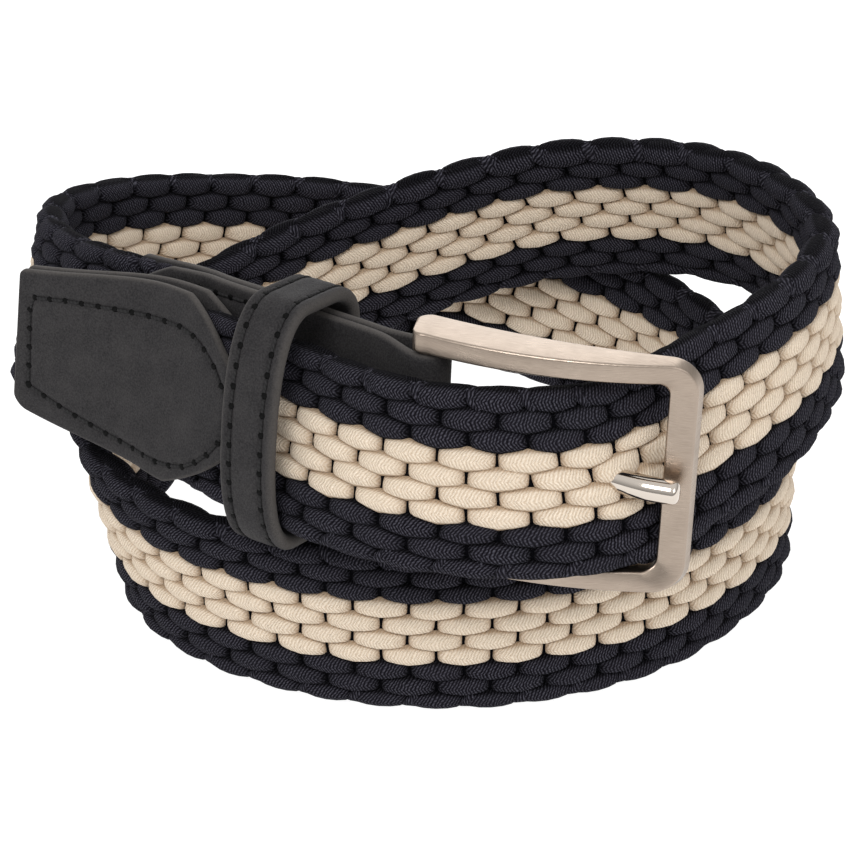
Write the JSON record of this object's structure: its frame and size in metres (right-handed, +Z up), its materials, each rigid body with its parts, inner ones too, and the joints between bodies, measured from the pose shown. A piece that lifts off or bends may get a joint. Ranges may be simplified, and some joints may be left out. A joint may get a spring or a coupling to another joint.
{
  "type": "braided belt",
  "caption": "Braided stretch belt with leather ends, keeper loop and metal frame buckle, coiled two turns and fastened, standing on its edge.",
  "frame": {"origin": "middle of the belt's outline, on the surface it stands on", "axes": "+X to the right as seen facing the buckle, +Y away from the buckle's side, +Z up, across the strap"},
  "size_m": [0.1648, 0.1525, 0.0841],
  "materials": {
    "braid": "woven elastic cord, navy edges and a cream middle stripe",
    "leather": "matt nubuck, charcoal, stitched",
    "frame_metal": "fine brushed, warm nickel",
    "prong_metal": "polished"
  },
  "bodies": {
    "root": {"braided_strap": "braid", "chape": "leather", "end_tab_front": "leather", "end_tab_back": "leather", "keeper_loop": "leather", "buckle_frame": "frame_metal", "buckle_prong": "prong_metal"}
  },
  "joints": []
}
